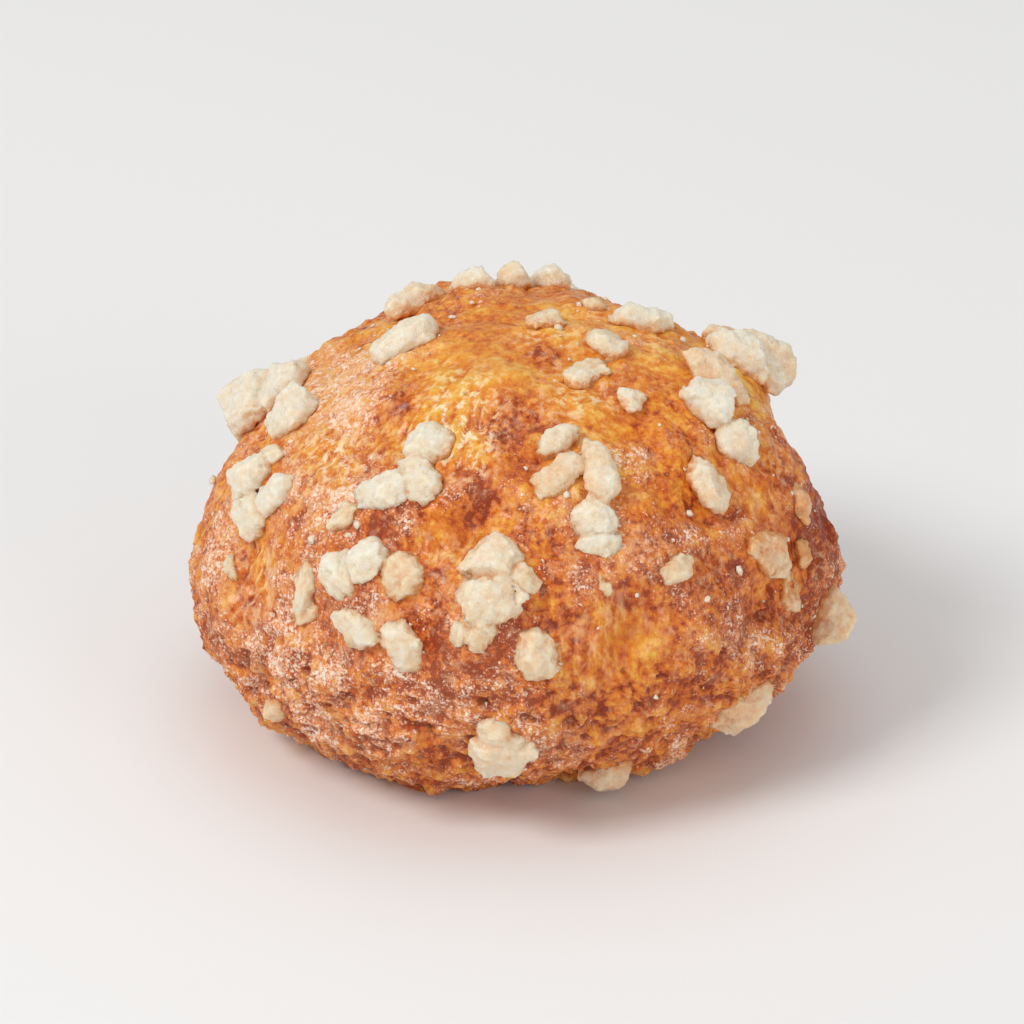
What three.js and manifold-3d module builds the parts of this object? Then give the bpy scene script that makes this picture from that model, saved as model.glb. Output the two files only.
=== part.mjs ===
// A chouquette: one small baked choux bun with nibs of pearl sugar stuck to its crust.
// Millimetres, +Z up. The origin is the middle of the flat base, and -Y is the side that is shown.
// A place on the bun is a turn, in degrees round from the front towards +X, and a rise, in degrees
// up from the bun's waist towards its top.
import * as THREE from "three";
import { mergeVertices } from "three/addons/utils/BufferGeometryUtils.js";
import Module from "manifold-3d";

// Driving dimensions of the bun
const BUN_WIDTH = 54;
const BUN_HEIGHT = 36.4;
const WAIST_HEIGHT = 12.2;
const BASE_WIDTH = 34;

// Worked out from them: half the width, and how far each half of the egg reaches from the waist.
// The lower half runs on past the base, which cuts it flat at BASE_WIDTH.
const HALF_WIDTH = BUN_WIDTH / 2;
const DOME_REACH = BUN_HEIGHT - WAIST_HEIGHT;
const UNDER_REACH = WAIST_HEIGHT / Math.sqrt(1 - (BASE_WIDTH / BUN_WIDTH) ** 2);

// The crust's relief, from broad lobes to crags: height, ripples over the bun, and a start phase
const RELIEF = [
  { height: 0.55, ripples: 5, phase: 0.7 },
  { height: 0.34, ripples: 12, phase: 2.1 },
  { height: 0.28, ripples: 21, phase: 4.4 },
];
const WAVES_PER_RELIEF = 9;
const GOLDEN_ANGLE = Math.PI * (3 - Math.sqrt(5));

// Swells and hollows where this bun rose unevenly: turn, rise, reach in degrees, height
const SWELLS = [
  [-88, 46, 34, -1.8],
  [-96, -2, 28, 1.1],
  [-101, 15, 11, -1.5],
  [-122, 55, 16, -0.9],
  [-52, -28, 24, -1.8],
  [28, -26, 22, -1.0],
  [74, -14, 26, -1.5],
  [88, 12, 20, 0.9],
  [96, 44, 22, 1.3],
  [100, 24, 12, -2.0],
  [140, 68, 30, -1.0],
  [170, 20, 40, 0.6],
];

// The nibs of sugar on the shown side: turn, rise, heading from level, length, width, and how far
// they stand off the crust
const SHOWN_NIBS = [
  [-105, 31, -23, 6.0, 5.6, 3.0],
  [-104, 39, -54, 5.0, 4.4, 2.1],
  [-80, 44, -39, 4.3, 3.9, 1.8],
  [-69, 37, 35, 3.2, 2.0, 0.9],
  [-70, 30, 65, 4.4, 3.2, 1.4],
  [-58, 34, 60, 4.2, 3.0, 1.3],
  [-65, 26, 20, 4.8, 3.5, 1.4],
  [-64, 14, -30, 2.7, 1.5, 0.6],
  [-51, -19, 53, 2.8, 2.0, 1.2],
  [-42, 20, -81, 4.7, 2.0, 0.8],
  [-41, 14, 26, 3.4, 2.2, 0.7],
  [-37, 35, 59, 3.0, 1.7, 0.8],
  [-30, 41, 43, 5.0, 2.9, 1.4],
  [-22, 45, -46, 4.1, 3.2, 1.5],
  [-24, 52, 71, 3.5, 3.3, 1.5],
  [-34, 24, -56, 3.9, 2.9, 1.4],
  [-28, 28, 59, 3.6, 2.7, 1.4],
  [-22, 27, -33, 3.6, 3.0, 1.0],
  [-28, 16, -15, 3.6, 2.9, 1.2],
  [-20, 14, -50, 4.3, 3.1, 1.3],
  [-4, 32, 12, 4.8, 4.0, 1.6],
  [-4, 24, 7, 4.9, 3.6, 1.5],
  [2, 28, -61, 3.0, 2.2, 1.0],
  [-9, 18, 73, 2.2, 1.4, 0.7],
  [-5, 18, 52, 2.9, 1.9, 0.8],
  [4, 15, -42, 4.3, 3.8, 1.2],
  [-2, -11, -4, 4.8, 4.4, 1.6],
  [-3, -4, 80, 3.6, 2.7, 1.2],
  [13, 54, 37, 3.4, 2.2, 1.0],
  [12, 47, 36, 4.4, 2.8, 0.9],
  [22, 46, 84, 5.8, 2.8, 1.4],
  [17, 38, -18, 4.0, 3.5, 1.4],
  [17, 33, -12, 4.2, 2.0, 1.0],
  [32, 26, 8, 3.6, 2.1, 0.9],
  [17, 26, -60, 1.9, 1.1, 0.5],
  [48, 38, 84, 4.6, 3.1, 1.2],
  [44, 59, -82, 2.6, 2.0, 0.8],
  [38, 69, 10, 4.0, 2.6, 0.7],
  [64, 71, -88, 3.1, 2.6, 1.1],
  [90, 84, -84, 2.9, 2.4, 1.0],
  [100, 66, -89, 4.9, 2.4, 1.5],
  [121, 73, 17, 2.2, 1.5, 0.7],
  [74, 52, -84, 6.2, 3.2, 1.6],
  [64, 50, 90, 4.4, 4.2, 1.9],
  [63, 42, 78, 4.0, 3.5, 1.6],
  [96, 48, 77, 5.3, 2.9, 2.0],
  [108, 48, 86, 3.7, 2.2, 1.6],
  [103, 41, 32, 5.6, 4.6, 2.6],
  [56, 21, -41, 5.9, 4.4, 0.7],
  [60, 11, -79, 3.8, 2.3, 0.5],
  [66, 16, 49, 2.6, 1.8, 0.5],
  [71, 25, 60, 3.8, 2.6, 0.6],
  [73, -2, 54, 4.4, 3.2, 2.3],
  [50, -17, 27, 5.4, 4.0, 1.9],
  [24, -42, 20, 4.2, 2.8, 1.8],
  [-80, 71, -80, 5.6, 3.0, 1.5],
  [-142, 60, 1, 5.5, 3.0, 1.7],
  [-161, 68, -25, 3.4, 2.6, 1.5],
  [180, 64, 24, 2.7, 2.5, 1.7],
  [166, 60, 0, 3.9, 2.4, 1.7],
];

// The sugar of the hidden side lies evenly spread in short rows, more thinly under the waist
const SHOWN_FROM_RISE = 27;
const SHOWN_EDGE = -0.3;
const SPREAD_PLACES = 170;
const SPREAD_LOWEST_RISE = -24;
const SPREAD_THINNED = 0.5;
const SPREAD_CLEARANCE = 5.2;
const SPREAD_WIDTHS = [1.9, 3.6];
const SPREAD_LENGTHS = [1.1, 1.6];
const SPREAD_HEIGHTS = [0.3, 0.5];
const SPREAD_MOST_NIBS = 3;
const ROW_STEP = 0.95;
const ROW_ZIGZAG = 0.2;

// The facets that chip a nib, at uneven depths
const NIB_FACETS = 9;
const NIB_FACET_DEPTHS = [0.84, 1.24];
const NIB_EDGE_SHARPNESS = 8;

const CRUST_DETAIL = 14;
const FLOOR_BLOCK = 80;

const radians = THREE.MathUtils.degToRad;
const between = ([low, high], share) => low + (high - low) * share;

// A repeatable draw from 0 to 1, one for each item and each use of it
function chance(item, use) {
  const s = Math.sin(item * 12.9898 + use * 78.233) * 43758.5453;
  return s - Math.floor(s);
}

function directionOf(turn, rise) {
  const flat = Math.cos(radians(rise));
  return new THREE.Vector3(
    flat * Math.sin(radians(turn)),
    -flat * Math.cos(radians(turn)),
    Math.sin(radians(rise)),
  );
}

// One of a count of directions that are spread evenly over a ball, on a spiral
function spiralDirection(k, count, phase) {
  const lift = 1 - (2 * k + 1) / count;
  const flat = Math.sqrt(1 - lift * lift);
  const around = k * GOLDEN_ANGLE + phase;
  return new THREE.Vector3(flat * Math.cos(around), flat * Math.sin(around), lift);
}

// Evenly turned waves that cross the bun, added up to a rolling surface
function ripple(direction, { ripples, phase }) {
  let sum = 0;
  for (let k = 0; k < WAVES_PER_RELIEF; k++) {
    const axis = spiralDirection(k, WAVES_PER_RELIEF, phase);
    sum += Math.sin(ripples * axis.dot(direction) + phase * (k + 1));
  }
  return sum / Math.sqrt(WAVES_PER_RELIEF);
}

// How far the crust stands out from the plain egg shape
function relief(direction) {
  let height = 0;
  for (const waves of RELIEF) height += waves.height * ripple(direction, waves);
  for (const [turn, rise, reach, swell] of SWELLS) {
    const away = direction.angleTo(directionOf(turn, rise)) / radians(reach);
    height += swell * Math.exp(-away * away);
  }
  return height;
}

const reachOf = (direction) => (direction.z >= 0 ? DOME_REACH : UNDER_REACH);

function crustNormal(direction) {
  return new THREE.Vector3(
    direction.x / HALF_WIDTH,
    direction.y / HALF_WIDTH,
    direction.z / reachOf(direction),
  ).normalize();
}

function crustPoint(direction) {
  return new THREE.Vector3(
    direction.x * HALF_WIDTH,
    direction.y * HALF_WIDTH,
    WAIST_HEIGHT + direction.z * reachOf(direction),
  ).addScaledVector(crustNormal(direction), relief(direction));
}

// The direction whose place on the plain egg shape is nearest to a point
function directionAt(point) {
  const up = point.z - WAIST_HEIGHT;
  return new THREE.Vector3(
    point.x / HALF_WIDTH,
    point.y / HALF_WIDTH,
    up / (up >= 0 ? DOME_REACH : UNDER_REACH),
  ).normalize();
}

// Shared corners only, as a solid needs them
function closed(geometry) {
  geometry.deleteAttribute("normal");
  geometry.deleteAttribute("uv");
  return mergeVertices(geometry);
}

function crustGeometry() {
  const geometry = closed(new THREE.IcosahedronGeometry(1, CRUST_DETAIL));
  const position = geometry.attributes.position;
  const corner = new THREE.Vector3();
  for (let i = 0; i < position.count; i++) {
    const moved = crustPoint(corner.fromBufferAttribute(position, i).normalize());
    position.setXYZ(i, moved.x, moved.y, moved.z);
  }
  return geometry;
}

// Along a heading on the crust, across it, and out of the crust
function seatAxes(direction, heading) {
  const out = crustNormal(direction);
  const east = new THREE.Vector3(0, 0, 1).cross(out).normalize();
  const along = east.applyAxisAngle(out, heading);
  return { along, across: out.clone().cross(along), out };
}

function shownNibs() {
  return SHOWN_NIBS.map(([turn, rise, heading, length, width, height], item) => {
    const direction = directionOf(turn, rise);
    return { item, direction, heading: radians(heading), length, width, height };
  });
}

// A short row of nibs that zigzags a little
function rowOfNibs(direction, heading, count, width, first) {
  const middle = crustPoint(direction);
  const { along, across } = seatAxes(direction, heading);
  const row = [];
  for (let k = 0; k < count; k++) {
    const item = first + k;
    const step = (k - (count - 1) / 2) * ROW_STEP * width;
    const side = (k % 2 ? 1 : -1) * ROW_ZIGZAG * width * Math.min(count - 1, 1);
    const place = middle.clone().addScaledVector(along, step).addScaledVector(across, side);
    row.push({
      item,
      direction: directionAt(place),
      heading: heading + Math.PI * chance(item, 2),
      length: width * between(SPREAD_LENGTHS, chance(item, 1)),
      width,
      height: width * between(SPREAD_HEIGHTS, chance(item, 9)),
    });
  }
  return row;
}

// Rows on an even spiral over the hidden side, clear of the nibs that are already there
function spreadNibs(shown) {
  const nibs = [];
  const places = shown.map((nib) => crustPoint(nib.direction));
  const shownFrom = directionOf(0, SHOWN_FROM_RISE);
  for (let k = 0; k < SPREAD_PLACES; k++) {
    const direction = spiralDirection(k, SPREAD_PLACES, -Math.PI / 2);
    const place = crustPoint(direction);
    const rise = THREE.MathUtils.radToDeg(Math.asin(direction.z));
    const seen = crustNormal(direction).dot(shownFrom) > SHOWN_EDGE;
    const thinned = rise < SPREAD_LOWEST_RISE || (rise < 0 && chance(k, 3) < SPREAD_THINNED);
    const crowded = places.some((other) => other.distanceTo(place) < SPREAD_CLEARANCE);
    if (seen || thinned || crowded) continue;
    const count = 1 + Math.floor(SPREAD_MOST_NIBS * chance(k, 4));
    const width = between(SPREAD_WIDTHS, chance(k, 6));
    const heading = 2 * Math.PI * chance(k, 5);
    nibs.push(...rowOfNibs(direction, heading, count, width, shown.length + nibs.length));
    places.push(place);
  }
  return nibs;
}

// How far a nib reaches in one direction, as a share of its half size: a lump with rounded facets
function nibReach(item, way) {
  const phase = 2 * Math.PI * chance(item, 7);
  let pressed = 0;
  for (let k = 0; k < NIB_FACETS; k++) {
    const depth = between(NIB_FACET_DEPTHS, chance(item, 20 + k));
    const facing = Math.max(way.dot(spiralDirection(k, NIB_FACETS, phase)), 0);
    pressed += (facing / depth) ** NIB_EDGE_SHARPNESS;
  }
  return pressed ** (-1 / NIB_EDGE_SHARPNESS);
}

// A chipped lump of sugar, longest along its heading and sunk in the crust to its middle
function nibGeometry({ item, direction, heading, length, width, height }) {
  const geometry = closed(new THREE.IcosahedronGeometry(1, 0));
  const position = geometry.attributes.position;
  const corner = new THREE.Vector3();
  for (let i = 0; i < position.count; i++) {
    corner.fromBufferAttribute(position, i);
    corner.multiplyScalar(nibReach(item, corner));
    position.setXYZ(i, corner.x, corner.y, corner.z);
  }
  const { along, across, out } = seatAxes(direction, heading);
  const frame = new THREE.Matrix4().makeBasis(along, across, out).setPosition(crustPoint(direction));
  return geometry.scale(length / 2, width / 2, height).applyMatrix4(frame);
}

const wasm = await Module();
wasm.setup();

function solidOf(geometry) {
  return new wasm.Manifold(
    new wasm.Mesh({
      numProp: 3,
      vertProperties: geometry.attributes.position.array,
      triVerts: new Uint32Array(geometry.index.array),
    }),
  );
}

function geometryOf(solid) {
  const { vertProperties, triVerts } = solid.getMesh();
  const geometry = new THREE.BufferGeometry();
  geometry.setAttribute("position", new THREE.BufferAttribute(vertProperties, 3));
  geometry.setIndex(new THREE.BufferAttribute(triVerts, 1));
  geometry.computeVertexNormals();
  return geometry;
}

// Bun and sugar fused and cut flat at the floor, with pockets between nibs filled
function chouquetteGeometry() {
  let fused = solidOf(crustGeometry());
  const shown = shownNibs();
  for (const nib of [...shown, ...spreadNibs(shown)]) fused = fused.add(solidOf(nibGeometry(nib)));
  const below = new THREE.BoxGeometry(FLOOR_BLOCK, FLOOR_BLOCK, FLOOR_BLOCK);
  const floor = closed(below.translate(0, 0, -FLOOR_BLOCK / 2));
  const bodies = fused.subtract(solidOf(floor)).decompose();
  return geometryOf(bodies.reduce((most, body) => (body.volume() > most.volume() ? body : most)));
}

const crust = new THREE.MeshStandardMaterial({ color: 0xd08a3e, roughness: 0.62, metalness: 0 });
const chouquette = new THREE.Mesh(chouquetteGeometry(), crust);
chouquette.name = "chouquette";

const part = new THREE.Group();
part.add(chouquette);

export default part;
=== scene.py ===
"""Looks of a chouquette: a baked choux crust and its nibs of pearl sugar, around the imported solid."""

import math

import bmesh
import bpy
import numpy as np
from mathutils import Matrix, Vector, noise


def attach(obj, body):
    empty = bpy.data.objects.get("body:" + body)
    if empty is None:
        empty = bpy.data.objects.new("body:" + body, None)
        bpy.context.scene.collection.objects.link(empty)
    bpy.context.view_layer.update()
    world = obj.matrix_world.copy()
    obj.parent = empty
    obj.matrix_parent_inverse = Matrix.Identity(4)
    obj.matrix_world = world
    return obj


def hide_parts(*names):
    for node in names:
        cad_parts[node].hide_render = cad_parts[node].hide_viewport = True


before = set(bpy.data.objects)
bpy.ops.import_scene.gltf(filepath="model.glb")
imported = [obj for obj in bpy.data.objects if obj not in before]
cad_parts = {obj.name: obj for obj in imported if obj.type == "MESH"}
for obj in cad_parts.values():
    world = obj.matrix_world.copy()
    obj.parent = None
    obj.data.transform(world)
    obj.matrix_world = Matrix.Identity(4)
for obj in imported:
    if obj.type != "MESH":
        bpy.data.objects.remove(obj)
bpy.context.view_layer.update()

# Sizes are in millimetres and angles in degrees, as in the part's source. A place on the bun is a
# turn round from the front towards +X and a rise from the waist towards the top.
MM = 0.001

# The bun's driving dimensions and what follows from them
BUN_WIDTH = 54.0
BUN_HEIGHT = 36.4
WAIST_HEIGHT = 12.2
BASE_WIDTH = 34.0
HALF_WIDTH = BUN_WIDTH / 2
DOME_REACH = BUN_HEIGHT - WAIST_HEIGHT
UNDER_REACH = WAIST_HEIGHT / math.sqrt(1 - (BASE_WIDTH / BUN_WIDTH) ** 2)

# The crust's form, as the solid has it: waves as height, ripples over the bun and start phase, then
# swells and hollows as turn, rise, reach and height
LOBES = ((0.55, 5, 0.7), (0.34, 12, 2.1), (0.28, 21, 4.4))
WAVES_PER_LOBE = 9
GOLDEN_ANGLE = math.pi * (3 - math.sqrt(5))
SWELLS = (
    (-88, 46, 34, -1.8),
    (-96, -2, 28, 1.1),
    (-101, 15, 11, -1.5),
    (-122, 55, 16, -0.9),
    (-52, -28, 24, -1.8),
    (28, -26, 22, -1.0),
    (74, -14, 26, -1.5),
    (88, 12, 20, 0.9),
    (96, 44, 22, 1.3),
    (100, 24, 12, -2.0),
    (140, 68, 30, -1.0),
    (170, 20, 40, 0.6),
)

# The nibs of sugar on the shown side: turn, rise, heading from level, length, width, how far they
# stand off the crust, and how much of the crust's syrup went into them, which on the lower right
# nibs also stands for painted shade
SHOWN_NIBS = (
    (-105, 31, -23, 6.0, 5.6, 3.0, 0.1),
    (-104, 39, -54, 5.0, 4.4, 2.1, 0.0),
    (-80, 44, -39, 4.3, 3.9, 1.8, 0.1),
    (-69, 37, 35, 3.2, 2.0, 0.9, 0.2),
    (-70, 31, 65, 4.9, 3.6, 1.4, 0.0),
    (-59, 33, 60, 4.2, 3.2, 1.3, 0.0),
    (-65, 26, 20, 4.8, 3.5, 1.4, 0.1),
    (-64, 14, -30, 2.7, 1.5, 0.6, 0.3),
    (-51, -19, 53, 2.8, 2.0, 1.2, 0.7),
    (-42, 20, -81, 4.7, 2.0, 0.8, 0.35),
    (-41, 14, 26, 3.4, 2.2, 0.7, 0.3),
    (-37, 35, 59, 3.0, 1.7, 0.8, 0.4),
    (-30, 41, 43, 5.0, 2.9, 1.4, 0.0),
    (-22, 45, -46, 4.1, 3.2, 1.5, 0.15),
    (-24, 52, 71, 3.5, 3.3, 1.5, 0.0),
    (-34, 24, -56, 3.9, 2.9, 1.4, 0.1),
    (-28, 28, 59, 3.6, 2.7, 1.4, 0.0),
    (-22, 27, -33, 3.6, 3.0, 1.0, 0.6),
    (-28, 15.4, -15, 3.6, 2.7, 1.2, 0.2),
    (-20, 14, -50, 4.3, 3.1, 1.3, 0.3),
    (-3, 31.6, 12, 4.5, 3.9, 1.6, 0.4),
    (-4, 24, 7, 4.9, 3.6, 1.5, 0.4),
    (2, 28, -61, 3.0, 2.2, 1.0, 0.4),
    (-9, 18, 73, 2.2, 1.4, 0.7, 0.4),
    (-5, 18, 52, 2.9, 1.9, 0.8, 0.4),
    (4, 15, -42, 4.3, 3.8, 1.2, 0.5),
    (-2, -11, -4, 4.8, 4.4, 1.6, 0.4),
    (-3, -4, 80, 3.6, 2.7, 1.2, 0.3),
    (13, 54, 37, 3.4, 2.2, 1.0, 0.2),
    (12, 47, 36, 4.4, 2.8, 0.9, 0.5),
    (22, 46, 84, 5.8, 2.8, 1.4, 0.45),
    (17, 38, -18, 3.7, 3.2, 1.4, 0.2),
    (18, 33, -12, 3.7, 1.9, 1.0, 0.1),
    (32, 26, 8, 3.6, 2.1, 0.9, 0.5),
    (17, 26, -60, 1.9, 1.1, 0.5, 0.5),
    (48, 38, 84, 4.2, 2.5, 1.2, 0.45),
    (44, 59, -82, 2.6, 2.0, 0.8, 0.1),
    (38, 69, 10, 4.0, 2.6, 0.7, 0.2),
    (64, 71, -88, 3.1, 2.6, 1.1, 0.3),
    (90, 84, -84, 2.9, 2.4, 1.0, 0.5),
    (100, 66, -89, 4.9, 2.4, 1.5, 0.1),
    (121, 73, 17, 2.2, 1.5, 0.7, 0.6),
    (74, 52, -84, 6.2, 3.2, 1.6, 0.6),
    (64, 50, 90, 4.4, 4.2, 1.9, 0.0),
    (63, 42, 78, 4.0, 3.5, 1.6, 0.2),
    (96, 48, 77, 5.3, 2.9, 2.0, 0.1),
    (108, 48, 86, 3.7, 2.2, 1.6, 0.8),
    (103, 41, 32, 5.6, 4.6, 2.6, 0.4),
    # The nibs of the lower right take much of their warm, dark tone from painted shade
    (56, 21, -41, 5.9, 4.4, 0.7, 0.8),
    (60, 11, -79, 3.8, 2.3, 0.5, 0.9),
    (66, 16, 49, 2.6, 1.8, 0.5, 0.9),
    (71, 25, 60, 3.8, 2.6, 0.6, 1.0),
    (73, -2, 54, 4.4, 3.2, 2.3, 0.8),
    (50, -17, 27, 5.4, 4.0, 1.9, 0.8),
    (24, -42, 20, 4.2, 2.8, 1.8, 0.8),
    (-80, 71, -80, 5.6, 3.0, 1.5, 0.1),
    (-142, 60, 1, 5.5, 3.0, 1.7, 0.4),
    (-161, 68, -25, 3.4, 2.6, 1.5, 0.2),
    (180, 64, 24, 2.7, 2.5, 1.7, 0.5),
    (166, 60, 0, 3.9, 2.4, 1.7, 0.1),
)

# The sugar of the hidden side lies evenly spread in short rows, more thinly under the waist
SHOWN_FROM_RISE = 27
SHOWN_EDGE = -0.3
SPREAD_PLACES = 170
SPREAD_LOWEST_RISE = -24
SPREAD_THINNED = 0.5
SPREAD_CLEARANCE = 5.2
SPREAD_WIDTHS = (1.9, 3.6)
SPREAD_LENGTHS = (1.1, 1.6)
SPREAD_HEIGHTS = (0.3, 0.5)
SPREAD_MOST_NIBS = 3
SPREAD_MOST_SOAKED = 0.8
ROW_STEP = 0.95
ROW_ZIGZAG = 0.2

# One nib: the facets that chip it, at uneven depths, the bits grown onto it at shares of its reach,
# and how deep its flat underside lies in the crust
NIB_FACETS = 9
NIB_FACET_DEPTHS = (0.76, 1.22)
NIB_EDGE_SHARPNESS = 24
NIB_CHIPS = 2
NIB_CHIP_SIZES = (0.3, 0.55)
NIB_CHIP_LIFTS = (-0.2, 0.6)
NIB_CHIP_REACH = 0.8
NIB_CHIP_ITEMS_FROM = 1000
NIB_SUNK = -0.6
NIB_MESH = 0.235

# Where nibs split: the size of the split faces, how flat they are and how far they may turn away,
# then the smoothing of their edges
SPLIT_SIZE = 1.7
SPLIT_FLATNESS = 0.75
SPLIT_FACING = 0.3
SPLIT_SMOOTHING = 0.35

# The skin of the nibs: its lumps, which fade out on flat nibs, its grain, and the groove where two
# nibs meet, with painted shade in it
NIB_LUMP_HEIGHT = 0.1
NIB_LUMPY_FROM_HEIGHT = 1.3
NIB_GRAIN_HEIGHT = 0.2
JOINT_REACH = 0.13
JOINT_DEPTH = 0.28
JOINT_SHADE = 0.35

# Crumbs of sugar that stick to the crust, most of them where it is frosted and brown or beside a nib,
# and most of them small
CRUMB_PLACES = 4200
CRUMB_JITTER = 0.03
CRUMB_SIZES = (0.25, 0.95)
CRUMB_SMALLNESS = 4
CRUMB_FROSTED_SHARE = 0.22
CRUMB_PLAIN_SHARE = 0.2
CRUMB_NIB_SHARE = 0.3
CRUMB_NIB_REACH = 3.0
CRUMB_LOWEST = 0.8
CRUMB_RADII = (0.5, 1.2)
CRUMB_AXES = (1.3, 1.0, 0.7)
CRUMB_RAISED = 0.12
CRUMB_PAINT = {"height": 1.4, "soak_and_shade": 0.15}

# How the crust baked all over: its plain value, how uneven that is, and what is added low down
BAKING = {
    "brown": (0.42, 0.14, 0.22),
    "coarse": (0.7, 0.4, 0.3),
    "pale": (0.0, 0.35, 0.0),
    "frost": (0.40, 0.5, 0.1),
}
BAKED_LOW_RISES = (24, -6)
COARSE_LIMITS = (0.2, 1.4)
FROST_COARSENESS = 0.5

# How this bun baked, where two rows also paint shade: turn, rise, reach, then how much browner,
# paler and more frosted it is there
BAKED_PATCHES = (
    (-40, 12, 34, 0.08, 0.0, 0.05),
    (35, 24, 30, 0.05, 0.0, -0.1),
    (-84, 60, 16, -0.16, 0.1, 1.1),
    (-75, 75, 10, 0.10, 0.0, 0.0),
    (-70, 48, 12, -0.05, 0.3, 0.1),
    # The browner cliff edge below the frosted shoulder is painted shade
    (-47, 60, 6, 0.50, 0.0, -0.3),
    (-18, 77, 15, -0.06, 0.0, -0.9),
    (-50, 70, 8, -0.15, 0.2, -0.4),
    (-19, 62, 9, -0.2, 0.85, -0.4),
    (-14, 53, 7, -0.20, 0.7, -0.3),
    (3, 62, 7, 0.4, 0.0, 0.5),
    (-4, 55, 5, 0.42, 0.0, 0.1),
    (24, 63, 7, -0.15, 0.7, -0.1),
    (26, 77, 3.5, 0.6, 0.0, 0.4),
    (50, 60, 9, 0.12, 0.0, -0.2),
    (82, 68, 14, -0.18, 0.2, 0.1),
    (-52, 44, 9, -0.20, 0.7, 0.0),
    (-11, 43, 5, 0.7, 0.0, 0.1),
    (-26, 37, 5, 0.62, 0.0, -0.1),
    (-45, 33, 9, 0.18, 0.0, 0.5),
    (-17, 33, 5, -0.15, 0.3, -0.4),
    (34, 45, 9, -0.08, 0.1, -0.3),
    (50, 49, 8, 0.16, 0.0, -0.1),
    (8, 41, 6, -0.06, 0.2, 0.2),
    (30, 29, 8, 0.34, 0.0, 0.5),
    (72, 36, 8, 0.14, 0.0, 0.1),
    (47, 27, 8, 0.14, 0.0, 0.1),
    (12, 26, 7, 0.14, 0.0, 0.1),
    (-57, 15, 8, -0.22, 0.5, -0.1),
    (-72, 14, 8, 0.08, 0.1, 0.5),
    (-26, 20, 9, 0.26, 0.0, 0.3),
    (0, 17, 6, 0.36, 0.0, 0.0),
    (-6, 8, 12, 0.24, 0.0, 0.3),
    (21, 13, 9, -0.04, 0.0, -0.7),
    (42, 12, 9, 0.2, 0.0, 0.5),
    # A brown spot on the far right side, made darker as painted shade
    (77, 18, 10, 0.8, 0.0, -0.4),
    (70, 76, 11, -0.1, 0.15, 0.0),
    (36, 47, 6, 0.06, 0.0, 0.8),
    (-66, 56, 9, 0.04, 0.0, 0.4),
    (-35, 54, 6, -0.15, 0.25, 0.0),
    (30, 55, 6, -0.14, 0.1, 0.0),
    (-92, 64, 11, -0.1, 0.25, 0.2),
    (58, 44, 5, -0.12, 0.2, 0.1),
    (82, 50, 13, -0.15, 0.0, 0.0),
    (-12, 25, 6, 0.14, 0.0, 0.1),
    (-30, 14, 6, 0.12, 0.0, 0.1),
    (-8, 14, 7, 0.16, 0.0, 0.0),
    (11, 36, 6, 0.14, 0.0, 0.1),
    (0, 46, 5, 0.14, 0.0, 0.0),
    (72, 13, 7, 0.15, 0.0, 0.0),
    (66, 0, 9, 0.5, 0.0, 0.2),
    (22, -9, 11, -0.2, 0.0, -0.1),
    (-32, -4, 14, 0.14, 0.0, 0.3),
    (-50, 2, 10, 0.10, 0.0, 0.2),
    (7, -20, 7, 0.2, 0.0, 0.1),
)

# Pits where steam broke through the lower crust: places tried, the share left out, how low and how
# high they lie, their headings in radians, half their widths, how tall they are to that, their depths,
# the cosine of how far one reaches over the bun, and the rim round each one
PIT_PLACES = 800
PITS_LEFT_OUT = 0.35
PIT_RISES = (-36, 10)
PIT_HEADINGS = (-0.4, 0.4)
PIT_SIZES = (0.25, 0.75)
PIT_SQUASH = 0.6
PIT_DEPTHS = (0.25, 0.7)
PIT_REACH_COSINE = 0.99
RIM_HEIGHT = 0.35
RIM_AT = 1.5
RIM_TIGHTNESS = 6

# The crust's skin, which stands a little higher where it is frosted or brown
CRUST_CUTS = 127
SKIN_EDGE = (0.30, 0.62)
SKIN_UNEVEN = 0.25
SKIN_HEIGHT = 0.4

# The crust's fine relief: the height of each kind all over, then what is added low down, on coarse
# skin for pebbles and on pale crust for wrinkles. The lowness grows between two rises in radians.
PUFF_HEIGHTS = (0.45, 0.3)
CRAG_HEIGHTS = (0.1, 0.5)
PEBBLE_HEIGHTS = (0.06, 0.24)
WRINKLE_HEIGHTS = (0.06, 0.3)
CREASE_HEIGHTS = (0.0, 0.4)
BILLOW_MEAN = 0.25
CREASE_MEAN = 0.2
RELIEF_LOW_RISES = (0.35, -0.05)

# Wrinkles run up and down and fade out near the top, and creases run round the bun: each is laid out
# on a map of the bun that is squeezed one way
WRINKLE_STEEPNESS = (0.1, 0.4)
WRINKLE_RISE_SPAN = 6
CREASE_TURN_SPAN = 9

# Depths and heights of the relief from which the crust's hollows get painted shade and its crests
# painted light, and how far the edge of the skin gets painted shade too
HOLLOW_SHADE_DEPTHS = (0.05, 0.25)
CREST_LIGHT_HEIGHTS = (0.03, 0.33)
SKIN_EDGE_SHADE = 0.25

# Each kind of unevenness: the size of its lumps, its layers, and where its noise starts. Each layer
# is finer than the one before it and fainter.
UNEVENNESS = {
    "brown": (8.0, 3, 0),
    "coarse": (6.0, 3, 50),
    "skin": (3.0, 3, 80),
    "pale": (7.0, 2, 110),
    "frost": (5.0, 3, 170),
    "puffs": (3.6, 3, 230),
    "crags": (1.8, 3, 270),
    "pebbles": (1.1, 2, 310),
    "creases": (2.4, 2, 350),
    "wrinkles": (0.9, 2, 370),
    "sugar_lumps": (1.5, 3, 400),
    "sugar_grain": (0.6, 2, 440),
}
LAYER_FADING = 0.9
LAYER_FINENESS = 2.0

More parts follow.
